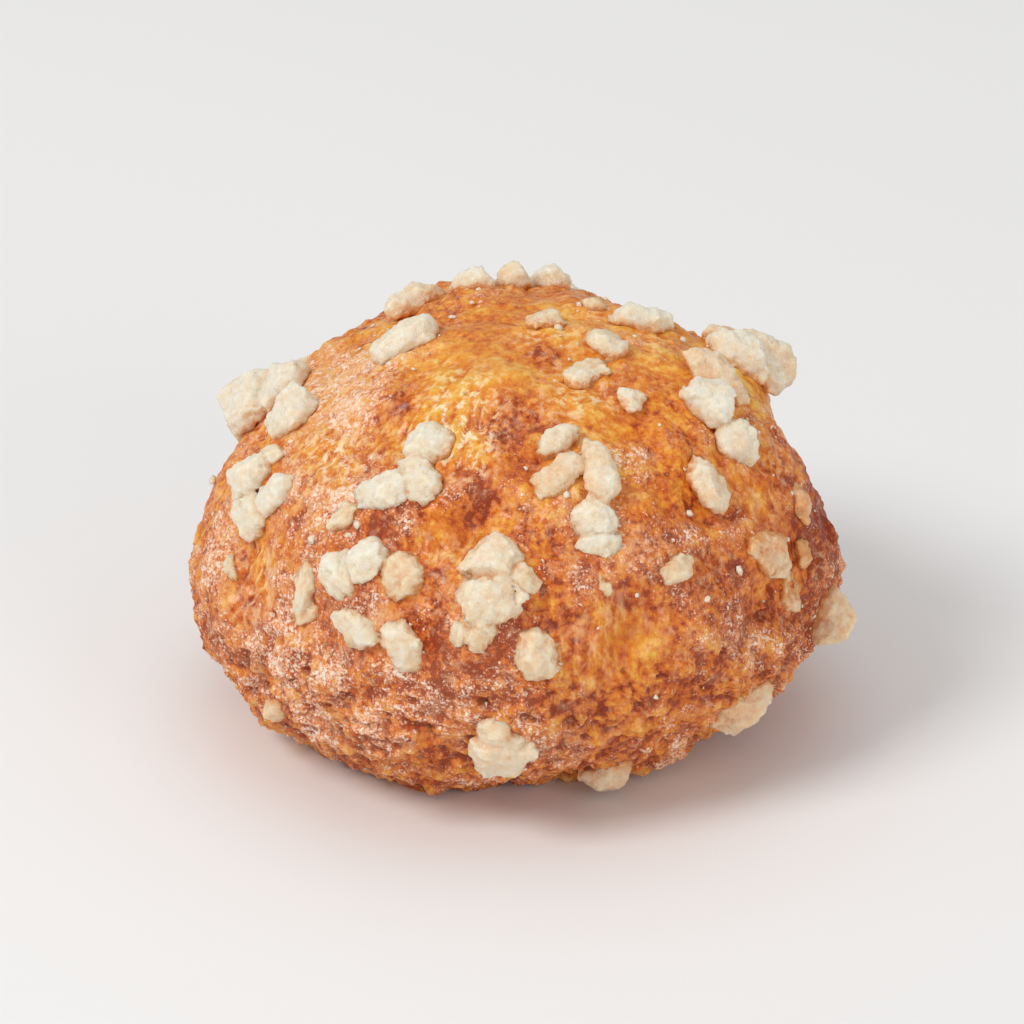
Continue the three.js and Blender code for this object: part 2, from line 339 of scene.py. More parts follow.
# Patterns in the finishes: lumps to the metre, finer layers, and how strong those are, then how the
# streaks are stretched upwards and from where in the noise the veil is taken
MOTTLE = (190, 3.0, 0.85)
FLECKS = (620, 3.0, 0.7)
GRAIN = (1700, 3.0, 0.65)
STREAKS = (1400, 3.0, 0.65)
STREAK_STRETCH = (1, 1, 0.3)
DRIFT = (260, 3.0, 0.9)
DUSTING = (1500, 2.0, 0.8)
VEIL_PLACE = (0.3, 0.2, 0.1)
SUGAR_CLOUD = (700, 4.0, 0.65)
SUGAR_RAGGED = (2400, 3.0, 0.7)
SUGAR_CRUMBLY = (2200, 2.0, 0.7)

# Grains of sugar in the finishes: how many to the metre, how wavy their outlines are, how fast they
# thin out from their middles, and how crisp their edges are
FINE_GRAINS = 5000
LARGE_GRAINS = 3300
NIB_GRAINS = 2800
NIB_GRAIN_AMOUNT = 0.7
GRAIN_WAVINESS = 1.2
GRAIN_THINNING = -0.7
GRAIN_CRISPNESS = 3.2

# The crust's colours from the least to the most browned, and those of what lies on it
CRUST_COLOURS = (
    (0.0, (0.87, 0.50, 0.10)),
    (0.25, (0.81, 0.345, 0.042)),
    (0.5, (0.71, 0.21, 0.026)),
    (0.75, (0.55, 0.112, 0.018)),
    (1.0, (0.28, 0.038, 0.01)),
)
# Pale streaks of stretched crust, partly painted highlights
PALE_STREAK_AND_HIGHLIGHT = (0.97, 0.82, 0.54)
SUGAR_VEIL = (0.97, 0.63, 0.37)
FROST_BLOOM = (0.74, 0.28, 0.15)
FINE_GRAIN = (0.97, 0.63, 0.43)
LARGE_GRAIN = (0.99, 0.82, 0.67)

# The sugar's colours from dry to steeped in syrup, the warm end also standing for painted shade,
# and how deep light goes into it
SUGAR_COLOURS = (
    (0.0, (0.82, 0.765, 0.64)),
    (0.2, (0.82, 0.71, 0.545)),
    (0.5, (0.80, 0.59, 0.38)),
    (0.75, (0.80, 0.46, 0.25)),
    (1.0, (0.73, 0.31, 0.10)),
)
SUGAR_GLOW = 0.7
SUGAR_GLOW_DEPTHS = (1.0, 0.85, 0.6)
SUGAR_GLOW_REACH = 1.6

# How much of the bloom and of the grains covers the crust, and the most that its spots are paled
BLOOM_COVER = 0.3
FINE_GRAIN_COVER = 0.7
LARGE_GRAIN_COVER = 0.8
MOST_PALED = -0.3

# How the finishes shine: the roughness of bare crust and of dry sugar, the egg wash on bare crust and
# how rough that is, and how much plain light the crust throws back
CRUST_ROUGHNESS = 0.38
SUGAR_ROUGHNESS = 0.5
EGG_WASH = 0.36
EGG_WASH_ROUGHNESS = 0.17
CRUST_REFLECTION = 0.06

# The finest relief in the finishes: its strength and its height
CRUST_BUMP = (1.0, 0.5)
SUGAR_BUMP = (0.55, 0.3)

# The studio, in metres and watts: place, width, power and colour of each light, then the height that
# the lights point at in millimetres, the even light all round, and the floor
LIGHTS = {
    "key": ((-0.55, -0.35, 0.70), 0.4, 4.4, (1.0, 0.98, 0.95)),
    "fill": ((0.6, -0.7, 0.25), 0.6, 2.0, (1, 1, 1)),
    "overhead": ((0.0, 0.25, 0.9), 0.8, 1.0, (1, 1, 1)),
}
LIGHT_TARGET_HEIGHT = 17
SKY_STRENGTH = 0.5
FLOOR_HALF_WIDTH = 6.0
FLOOR_GREY = 0.88
FLOOR_ROUGHNESS = 0.7

# The camera: its distance, the height that it looks at, its lens and the nearest that it sees
CAMERA_DISTANCE = 480
CAMERA_TARGET_HEIGHT = 17.5
CAMERA_LENS = 200
CAMERA_NEAREST = 10


def chance(item, use):
    """A repeatable draw from 0 to 1, one for each item and each use of it."""
    s = math.sin(item * 12.9898 + use * 78.233) * 43758.5453
    return s - math.floor(s)


def between(ends, share):
    return ends[0] + (ends[1] - ends[0]) * share


def even_step(low, high, values):
    return np.clip((values - low) / (high - low), 0, 1)


def smooth_step(low, high, values):
    share = even_step(low, high, values)
    return share * share * (3 - 2 * share)


def raised_by(heights, share):
    return heights[0] + heights[1] * share


def unit(vectors):
    return vectors / np.linalg.norm(vectors, axis=-1, keepdims=True)


def direction_of(turn, rise):
    turn, rise = math.radians(turn), math.radians(rise)
    flat = math.cos(rise)
    return np.array((flat * math.sin(turn), -flat * math.cos(turn), math.sin(rise)))


def spiral_directions(count, phase=0.0):
    """Directions spread evenly over a ball."""
    k = np.arange(count)
    lift = 1 - (2 * k + 1) / count
    flat = np.sqrt(1 - lift * lift)
    around = k * GOLDEN_ANGLE + phase
    return np.stack((flat * np.cos(around), flat * np.sin(around), lift), axis=-1)


def closeness(directions, turn, rise, reach):
    """1 at a place on the bun, fading out over its reach."""
    away = np.arccos(np.clip(directions @ direction_of(turn, rise), -1, 1)) / math.radians(reach)
    return np.exp(-away * away)


def relief(directions):
    """How far the crust stands out from the plain egg shape."""
    height = np.zeros(directions.shape[:-1])
    for wave_height, ripples, phase in LOBES:
        phases = phase * np.arange(1, WAVES_PER_LOBE + 1)
        waves = np.sin(ripples * directions @ spiral_directions(WAVES_PER_LOBE, phase).T + phases)
        height += wave_height * waves.sum(axis=-1) / math.sqrt(WAVES_PER_LOBE)
    for turn, rise, reach, swell in SWELLS:
        height += swell * closeness(directions, turn, rise, reach)
    return height


def egg_reach(heights):
    return np.where(heights >= 0, DOME_REACH, UNDER_REACH)


def egg_half_sizes(directions):
    """Half the plain egg shape's width, depth and height on the side that each direction points to."""
    sideways = np.full_like(directions[..., :2], HALF_WIDTH)
    return np.concatenate((sideways, egg_reach(directions[..., 2:])), axis=-1)


def crust_normals(directions):
    return unit(directions / egg_half_sizes(directions))


def crust_points(directions):
    egg = directions * egg_half_sizes(directions)
    egg[..., 2] += WAIST_HEIGHT
    return egg + crust_normals(directions) * relief(directions)[..., None]


def direction_at(point):
    """The direction from the middle of the waist that leads to a point, on the plain egg shape."""
    up = point[..., 2] - WAIST_HEIGHT
    sideways = point[..., :2] / HALF_WIDTH
    return unit(np.concatenate((sideways, (up / egg_reach(up))[..., None]), axis=-1))


def seat_axes(direction, heading):
    """Along a heading on the crust, across it, and out of the crust."""
    out = crust_normals(direction)
    east = unit(np.cross((0, 0, 1), out))
    along = east * math.cos(heading) + np.cross(out, east) * math.sin(heading)
    return np.array((along, np.cross(out, along), out))


def shown_nibs():
    nibs = []
    for item, (turn, rise, heading, length, width, height, soak_and_shade) in enumerate(SHOWN_NIBS):
        nibs.append({
            "item": item,
            "direction": direction_of(turn, rise),
            "heading": math.radians(heading),
            "length": length,
            "width": width,
            "height": height,
            "soak_and_shade": soak_and_shade,
        })
    return nibs


def row_of_nibs(direction, heading, count, width, first):
    """A short row of nibs that zigzags a little."""
    middle = crust_points(direction)
    along, across, _ = seat_axes(direction, heading)
    row = []
    for k in range(count):
        item = first + k
        step = (k - (count - 1) / 2) * ROW_STEP * width
        side = (1 if k % 2 else -1) * ROW_ZIGZAG * width * min(count - 1, 1)
        row.append({
            "item": item,
            "direction": direction_at(middle + along * step + across * side),
            "heading": heading + math.pi * chance(item, 2),
            "length": width * between(SPREAD_LENGTHS, chance(item, 1)),
            "width": width,
            "height": width * between(SPREAD_HEIGHTS, chance(item, 9)),
            "soak_and_shade": SPREAD_MOST_SOAKED * chance(item, 8),
        })
    return row


def spread_nibs(shown):
    """Rows on an even spiral over the hidden side, clear of the nibs that are already there."""
    nibs = []
    places = [crust_points(nib["direction"]) for nib in shown]
    shown_from = direction_of(0, SHOWN_FROM_RISE)
    for k, direction in enumerate(spiral_directions(SPREAD_PLACES, phase=-math.pi / 2)):
        place = crust_points(direction)
        rise = math.degrees(math.asin(direction[2]))
        seen = crust_normals(direction) @ shown_from > SHOWN_EDGE
        thinned = rise < SPREAD_LOWEST_RISE or (rise < 0 and chance(k, 3) < SPREAD_THINNED)
        crowded = any(np.linalg.norm(other - place) < SPREAD_CLEARANCE for other in places)
        if seen or thinned or crowded:
            continue
        count = 1 + math.floor(SPREAD_MOST_NIBS * chance(k, 4))
        width = between(SPREAD_WIDTHS, chance(k, 6))
        heading = 2 * math.pi * chance(k, 5)
        nibs += row_of_nibs(direction, heading, count, width, len(shown) + len(nibs))
        places.append(place)
    return nibs


def rumple(points, kind):
    """Uneven heights about 0 over points, of one kind of unevenness."""
    size, layers, start = UNEVENNESS[kind]
    places = ((points + start) / size).tolist()
    return np.array([noise.fractal(place, LAYER_FADING, LAYER_FINENESS, layers) for place in places])


def billows(points, kind, mean=BILLOW_MEAN):
    """Round lumps with sharp creases between them, about 0 on the whole."""
    return np.abs(rumple(points, kind)) - mean


def piece_of(name, bm, material):
    """A mesh object of a finished bmesh, in the frame's metres, riding on the part."""
    mesh = bpy.data.meshes.new(name)
    bm.to_mesh(mesh)
    bm.free()
    mesh.shade_smooth()
    mesh.materials.append(material)
    piece = bpy.data.objects.new(name, mesh)
    bpy.context.scene.collection.objects.link(piece)
    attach(piece, "root")
    return piece


def paint(piece, name, values):
    """A value for each vertex, which the piece's material reads by name."""
    layer = piece.data.attributes.new(name, "FLOAT", "POINT")
    layer.data.foreach_set("value", np.asarray(values, dtype=np.float32))


def baking(directions, points):
    """How brown, coarse, pale and frosted the crust is at each point, mostly from 0 to 1."""
    rise = np.degrees(np.arcsin(np.clip(directions[:, 2], -1, 1)))
    low = smooth_step(*BAKED_LOW_RISES, rise)
    baked = {}
    for kind, (plain, uneven, added_low) in BAKING.items():
        baked[kind] = plain + uneven * rumple(points, kind) + added_low * low
    for turn, rise_here, reach, browner, paler, frostier in BAKED_PATCHES:
        near = closeness(directions, turn, rise_here, reach)
        baked["brown"] += browner * near
        baked["coarse"] += (browner + FROST_COARSENESS * frostier) * near
        baked["pale"] += paler * near
        baked["frost"] += frostier * near
    limits = {"coarse": COARSE_LIMITS}
    return {kind: np.clip(values, *limits.get(kind, (0, 1))) for kind, values in baked.items()}


def pits(directions, points):
    """How deep the pits of the lower crust are at each point, each one wider than it is tall."""
    depth = np.zeros(len(points))
    for k, direction in enumerate(spiral_directions(PIT_PLACES, phase=2.0)):
        rise = math.degrees(math.asin(direction[2]))
        if not PIT_RISES[0] < rise < PIT_RISES[1] or chance(k, 60) < PITS_LEFT_OUT:
            continue
        half = between(PIT_SIZES, chance(k, 61))
        near = directions @ direction > PIT_REACH_COSINE
        along, across, _ = seat_axes(direction, between(PIT_HEADINGS, chance(k, 62)))
        offset = points[near] - crust_points(direction)
        spread = (offset @ along / half) ** 2 + (offset @ across / (PIT_SQUASH * half)) ** 2
        rim = RIM_HEIGHT * np.exp(-(np.sqrt(spread) - RIM_AT) ** 2 * RIM_TIGHTNESS)
        depth[near] += between(PIT_DEPTHS, chance(k, 63)) * (np.exp(-spread * spread) - rim)
    return depth


def fine_relief(directions, points, baked, skin):
    """How far puffs, crags, pebbles, wrinkles, creases and pits raise or sink the crust at each point."""
    rise = np.arcsin(np.clip(directions[:, 2], -1, 1))
    low = smooth_step(*RELIEF_LOW_RISES, rise)
    puffs = raised_by(PUFF_HEIGHTS, low) * billows(points, "puffs")
    crags = raised_by(CRAG_HEIGHTS, low) * billows(points, "crags")
    pebbles = raised_by(PEBBLE_HEIGHTS, baked["coarse"] * skin) * billows(points, "pebbles")
    flat = np.cos(rise)
    around = directions[:, :2] / np.maximum(flat, 1e-6)[:, None]
    up_down = np.concatenate((around * HALF_WIDTH, rise[:, None] * WRINKLE_RISE_SPAN), axis=1)
    wrinkles = raised_by(WRINKLE_HEIGHTS, baked["pale"]) * rumple(up_down, "wrinkles")
    wrinkles *= smooth_step(*WRINKLE_STEEPNESS, flat)
    side_to_side = np.concatenate((around * CREASE_TURN_SPAN, rise[:, None] * HALF_WIDTH), axis=1)
    creases = raised_by(CREASE_HEIGHTS, low) * billows(side_to_side, "creases", CREASE_MEAN)
    return puffs + crags + pebbles + wrinkles + creases - pits(directions, points)


def make_crust(material):
    bm = bmesh.new()
    bmesh.ops.create_cube(bm, size=2.0)
    bmesh.ops.subdivide_edges(bm, edges=bm.edges[:], cuts=CRUST_CUTS, use_grid_fill=True)
    corners = np.array([v.co for v in bm.verts])
    directions = unit(np.tan(corners * (math.pi / 4)))
    points = crust_points(directions)
    baked = baking(directions, points)

    browned_or_frosted = (baked["frost"] + baked["brown"]) / 2
    skin = smooth_step(*SKIN_EDGE, browned_or_frosted + SKIN_UNEVEN * rumple(points, "skin"))
    fine = fine_relief(directions, points, baked, skin)
    points = points + crust_normals(directions) * (SKIN_HEIGHT * (skin - 0.5) + fine)[:, None]
    points[:, 2] = np.maximum(points[:, 2], 0)
    for vertex, point in zip(bm.verts, points * MM):
        vertex.co = point

    crust = piece_of("crust", bm, material)
    for kind, values in baked.items():
        paint(crust, kind, values)
    paint(crust, "skin", skin)
    # Painted shade in the hollows of the relief and at the edges of the skin, and painted light on the
    # crests
    skin_edge = 4 * skin * (1 - skin)
    paint(crust, "hollow_shade", even_step(*HOLLOW_SHADE_DEPTHS, -fine) + SKIN_EDGE_SHADE * skin_edge)
    paint(crust, "crest_light", even_step(*CREST_LIGHT_HEIGHTS, fine))
    return crust


def nib_radii(item, ways):
    """A chipped lump: facets at uneven depths, with their edges rounded."""
    facets = spiral_directions(NIB_FACETS, 2 * math.pi * chance(item, 7))
    depths = np.array([between(NIB_FACET_DEPTHS, chance(item, 20 + k)) for k in range(NIB_FACETS)])
    pressed = np.maximum(ways @ facets.T, 0) / depths
    return (pressed ** NIB_EDGE_SHARPNESS).sum(axis=-1) ** (-1 / NIB_EDGE_SHARPNESS)


def lump_points(ways, radii, half_size, axes, centre, lift=0.0):
    """A lump of given radii over directions, laid along a seat's axes and flat where it is sunk."""
    local = ways * radii[:, None] * half_size
    local[:, 2] = np.maximum(local[:, 2], NIB_SUNK - lift)
    return centre + local @ axes


def add_lump(bm, shape):
    """A ball brought to a shape and added to the lumps so far."""
    ball = bmesh.new()
    bmesh.ops.create_icosphere(ball, subdivisions=3, radius=1.0)
    ways = np.array([v.co for v in ball.verts])
    for vertex, point in zip(ball.verts, shape(ways)):
        vertex.co = point
    lump = bpy.data.meshes.new("lump")
    ball.to_mesh(lump)
    ball.free()
    bm.from_mesh(lump)
    bpy.data.meshes.remove(lump)


def add_nib(bm, nib):
    """A chipped nib of sugar with smaller bits grown onto it."""
    item = nib["item"]
    axes = seat_axes(nib["direction"], nib["heading"])
    centre = crust_points(nib["direction"])
    half_size = np.array((nib["length"] / 2, nib["width"] / 2, nib["height"]))
    add_lump(bm, lambda ways: lump_points(ways, nib_radii(item, ways), half_size, axes, centre))
    for k in range(NIB_CHIPS):
        use = 50 + 10 * k
        around = 2 * math.pi * (k + chance(item, use)) / NIB_CHIPS
        lift = between(NIB_CHIP_LIFTS, chance(item, use + 1))
        way = unit(np.array((math.cos(around), math.sin(around), lift)))
        offset = way * NIB_CHIP_REACH * nib_radii(item, way[None]) * half_size
        at = centre + offset @ axes
        chip = half_size[[1, 1, 2]] * between(NIB_CHIP_SIZES, chance(item, use + 2))
        chip_item = NIB_CHIP_ITEMS_FROM + NIB_CHIPS * item + k
        add_lump(bm, lambda ways: lump_points(ways, nib_radii(chip_item, ways), chip, axes, at, offset[2]))
    return centre


def fused(bm, mesh_size):
    """The lumps of a bmesh grown together into one even skin."""
    mesh = bpy.data.meshes.new("lumps")
    bm.to_mesh(mesh)
    bm.free()
    lumps = bpy.data.objects.new("lumps", mesh)
    bpy.context.scene.collection.objects.link(lumps)
    skin = lumps.modifiers.new("skin", "REMESH")
    skin.mode = "VOXEL"
    skin.voxel_size = mesh_size
    bm = bmesh.new()
    bm.from_object(lumps, bpy.context.evaluated_depsgraph_get())
    bpy.data.objects.remove(lumps)
    bpy.data.meshes.remove(mesh)
    return bm


def split(points, outward, owners):
    """Points brought nearer to flat faces, as if their nibs had been split."""
    faces = {}
    for index, point in enumerate((points / SPLIT_SIZE).tolist()):
        faces.setdefault((owners[index], *noise.voronoi(point)[1][0]), []).append(index)
    moved = points.copy()
    for indices in faces.values():
        facing = unit(outward[indices].sum(axis=0) + 1e-9)
        lift = (points[indices] - points[indices].mean(axis=0)) @ facing
        level = outward[indices] @ facing > SPLIT_FACING
        moved[indices] -= SPLIT_FLATNESS * (lift * level)[:, None] * facing
    return moved


def nib_owners(points, nibs):
    """Which nib each point belongs to, and how near it is to a joint with another, from 0 to 1."""
    nearest = np.full(len(points), 1e9)
    second = nearest.copy()
    owners = np.zeros(len(points), dtype=int)
    for k, nib in enumerate(nibs):
        axes = seat_axes(nib["direction"], nib["heading"])
        half_size = np.array((nib["length"] / 2, nib["width"] / 2, nib["height"]))
        away = np.linalg.norm((points - crust_points(nib["direction"])) @ axes.T / half_size, axis=1)
        closer = away < nearest
        second = np.where(closer, nearest, np.minimum(second, away))
        owners = np.where(closer, k, owners)
        nearest = np.minimum(nearest, away)
    return owners, np.exp(-((second - nearest) / JOINT_REACH) ** 2)


def surface_of(bm):
    """The points of a bmesh and the ways they face."""
    bm.normal_update()
    return np.array([v.co for v in bm.verts]), np.array([v.normal for v in bm.verts])


def make_nibs(material):
    shown = shown_nibs()
    nibs = shown + spread_nibs(shown)
    bm = bmesh.new()
    centres = np.array([add_nib(bm, nib) for nib in nibs])
    bm = fused(bm, NIB_MESH)
    points, outward = surface_of(bm)
    owners, joint = nib_owners(points, nibs)
    for vertex, point in zip(bm.verts, split(points, outward, owners)):
        vertex.co = point
    bmesh.ops.smooth_vert(
        bm, verts=bm.verts[:], factor=SPLIT_SMOOTHING, use_axis_x=True, use_axis_y=True, use_axis_z=True)
    points, outward = surface_of(bm)
    soak_and_shade = np.array([nib["soak_and_shade"] for nib in nibs])[owners]
    tall = np.array([min(nib["height"] / NIB_LUMPY_FROM_HEIGHT, 1.0) for nib in nibs])[owners]
    lumps = NIB_LUMP_HEIGHT * tall * rumple(points, "sugar_lumps")
    grain = NIB_GRAIN_HEIGHT * rumple(points, "sugar_grain")
    points = points + outward * (lumps + grain - JOINT_DEPTH * tall * joint)[:, None]
    points[:, 2] = np.maximum(points[:, 2], 0)
    for vertex, point in zip(bm.verts, points * MM):
        vertex.co = point
    below = direction_at(points)
    heights = ((points - crust_points(below)) * crust_normals(below)).sum(axis=1)
    piece = piece_of("sugar_nibs", bm, material)
    paint(piece, "height", heights)
    # Painted shade on the lower right nibs and in the joints between nibs, with the syrup that went in
    paint(piece, "soak_and_shade", soak_and_shade + JOINT_SHADE * joint)
    return piece, centres


def make_crumbs(material, nib_places):
    """Crumbs of sugar on an even spiral, kept mostly where the crust is frosted and beside the nibs."""
    jitter = np.array([[chance(k, use) - 0.5 for use in (30, 31, 32)] for k in range(CRUMB_PLACES)])
    directions = unit(spiral_directions(CRUMB_PLACES, phase=1.0) + CRUMB_JITTER * jitter)
    points = crust_points(directions)
    baked = baking(directions, points)
    frosted = CRUMB_FROSTED_SHARE * baked["frost"] * (CRUMB_PLAIN_SHARE + baked["brown"])
    bm = bmesh.new()
    for k in range(CRUMB_PLACES):
        to_nib = np.linalg.norm(nib_places - points[k], axis=1).min()
        kept = frosted[k] + CRUMB_NIB_SHARE * math.exp(-(to_nib / CRUMB_NIB_REACH) ** 2)
        if points[k, 2] < CRUMB_LOWEST or chance(k, 33) > kept:
            continue
        size = between(CRUMB_SIZES, chance(k, 34) ** CRUMB_SMALLNESS)
        axes = seat_axes(directions[k], 2 * math.pi * chance(k, 35))
        middle = points[k] + axes[2] * CRUMB_RAISED * size
        crumb = bmesh.ops.create_icosphere(bm, subdivisions=1, radius=1.0)["verts"]
        for corner, vertex in enumerate(crumb):
            way = np.array(vertex.co) * between(CRUMB_RADII, chance(k, 40 + corner)) * CRUMB_AXES
            vertex.co = (middle + way @ axes * size / 2) * MM
    piece = piece_of("sugar_crumbs", bm, material)
    for name, value in CRUMB_PAINT.items():
        paint(piece, name, np.full(len(piece.data.vertices), value))
    return piece


def add_node(tree, kind, inputs=None, **settings):
    node = tree.nodes.new(kind)
    for name, value in settings.items():
        setattr(node, name, value)
    for name, value in (inputs or {}).items():
        if isinstance(value, bpy.types.NodeSocket):
            tree.links.new(value, node.inputs[name])
        else:
            node.inputs[name].default_value = value
    return node


def add_math(tree, operation, first, second=0.0, third=0.0, clamp=False):
    node = tree.nodes.new("ShaderNodeMath")
    node.operation = operation
    node.use_clamp = clamp
    for socket, value in zip(node.inputs, (first, second, third)):
        if isinstance(value, bpy.types.NodeSocket):
            tree.links.new(value, socket)
        else:
            socket.default_value = value
    return node.outputs[0]


def add_sum(tree, start, *terms, clamp=False):
    """A start value plus values times their weights, with the whole sum held from 0 to 1 if asked."""
    total = start
    for k, (value, weight) in enumerate(terms):
        last = k == len(terms) - 1
        total = add_math(tree, "MULTIPLY_ADD", value, weight, total, clamp=clamp and last)
    return total


def add_noise(tree, place, pattern):
    """A pattern of noise about one half."""
    scale, detail, roughness = pattern
    inputs = {"Vector": place, "Scale": scale, "Detail": detail, "Roughness": roughness}
    return add_node(tree, "ShaderNodeTexNoise", inputs).outputs["Fac"]


def add_swing(tree, place, pattern):
    """A pattern of noise about 0."""
    return add_math(tree, "SUBTRACT", add_noise(tree, place, pattern), 0.5)


def add_ramp(tree, value, stops):
    ramp = add_node(tree, "ShaderNodeValToRGB", {"Fac": value})
    elements = ramp.color_ramp.elements
    while len(elements) < len(stops):
        elements.new(1.0)
    for element, (position, colour) in zip(elements, stops):
        element.position = position
        element.color = (*colour, 1.0)
    return ramp.outputs["Color"]


def add_mix(tree, share, first, second):
    mix = tree.nodes.new("ShaderNodeMix")
    mix.data_type = "RGBA"
    for socket, value in ((mix.inputs[0], share), (mix.inputs[6], first), (mix.inputs[7], second)):
        if isinstance(value, bpy.types.NodeSocket):
            tree.links.new(value, socket)
        else:
            socket.default_value = value if isinstance(value, float) else (*value, 1.0)
    return mix.outputs[2]


def add_layer(tree, name):
    return add_node(tree, "ShaderNodeAttribute", attribute_name=name).outputs["Fac"]


def new_material(name):
    material = bpy.data.materials.new(name)
    material.use_nodes = True
    tree = material.node_tree
    return material, tree, tree.nodes["Principled BSDF"]


def add_bump(tree, height, bump):
    strength, distance = bump
    inputs = {"Height": height, "Strength": strength, "Distance": distance * MM}
    return add_node(tree, "ShaderNodeBump", inputs).outputs["Normal"]


def speckle_group():
    """Grains scattered at a size, as a mask: more of them where the amount is higher."""
    group = bpy.data.node_groups.new("Speckle", "ShaderNodeTree")
    sockets = group.interface
    sockets.new_socket("Vector", in_out="INPUT", socket_type="NodeSocketVector")
    sockets.new_socket("Scale", in_out="INPUT", socket_type="NodeSocketFloat")
    sockets.new_socket("Amount", in_out="INPUT", socket_type="NodeSocketFloat")
    sockets.new_socket("Mask", in_out="OUTPUT", socket_type="NodeSocketFloat")
    given = group.nodes.new("NodeGroupInput").outputs
    result = group.nodes.new("NodeGroupOutput").inputs
    inputs = {"Vector": given["Vector"], "Scale": given["Scale"], "Detail": 0.0}
    wavy = add_node(group, "ShaderNodeTexNoise", inputs)
    inputs = {0: wavy.outputs["Color"], 1: (0.5, 0.5, 0.5)}
    nudge = add_node(group, "ShaderNodeVectorMath", inputs, operation="SUBTRACT")
    size = add_math(group, "DIVIDE", GRAIN_WAVINESS, given["Scale"])
    inputs = {0: nudge.outputs[0], 1: size, 2: given["Vector"]}
    moved = add_node(group, "ShaderNodeVectorMath", inputs, operation="MULTIPLY_ADD")
    inputs = {"Vector": moved.outputs[0], "Scale": given["Scale"]}
    cells = add_node(group, "ShaderNodeTexVoronoi", inputs)
    drawn = add_node(group, "ShaderNodeSeparateColor", {"Color": cells.outputs["Color"]}).outputs["Red"]
    spare = add_math(group, "SUBTRACT", add_math(group, "ADD", drawn, given["Amount"]), 1.0)
    inside = add_math(group, "MULTIPLY_ADD", cells.outputs["Distance"], GRAIN_THINNING, spare)
    mask = add_math(group, "MULTIPLY", inside, GRAIN_CRISPNESS, clamp=True)
    group.links.new(mask, result["Mask"])
    return group


def add_speckle(tree, group, place, scale, amount):
    node = tree.nodes.new("ShaderNodeGroup")
    node.node_tree = group
    tree.links.new(place, node.inputs["Vector"])
    node.inputs["Scale"].default_value = scale
    if isinstance(amount, bpy.types.NodeSocket):
        tree.links.new(amount, node.inputs["Amount"])
    else:
        node.inputs["Amount"].default_value = amount
    return node.outputs["Mask"]


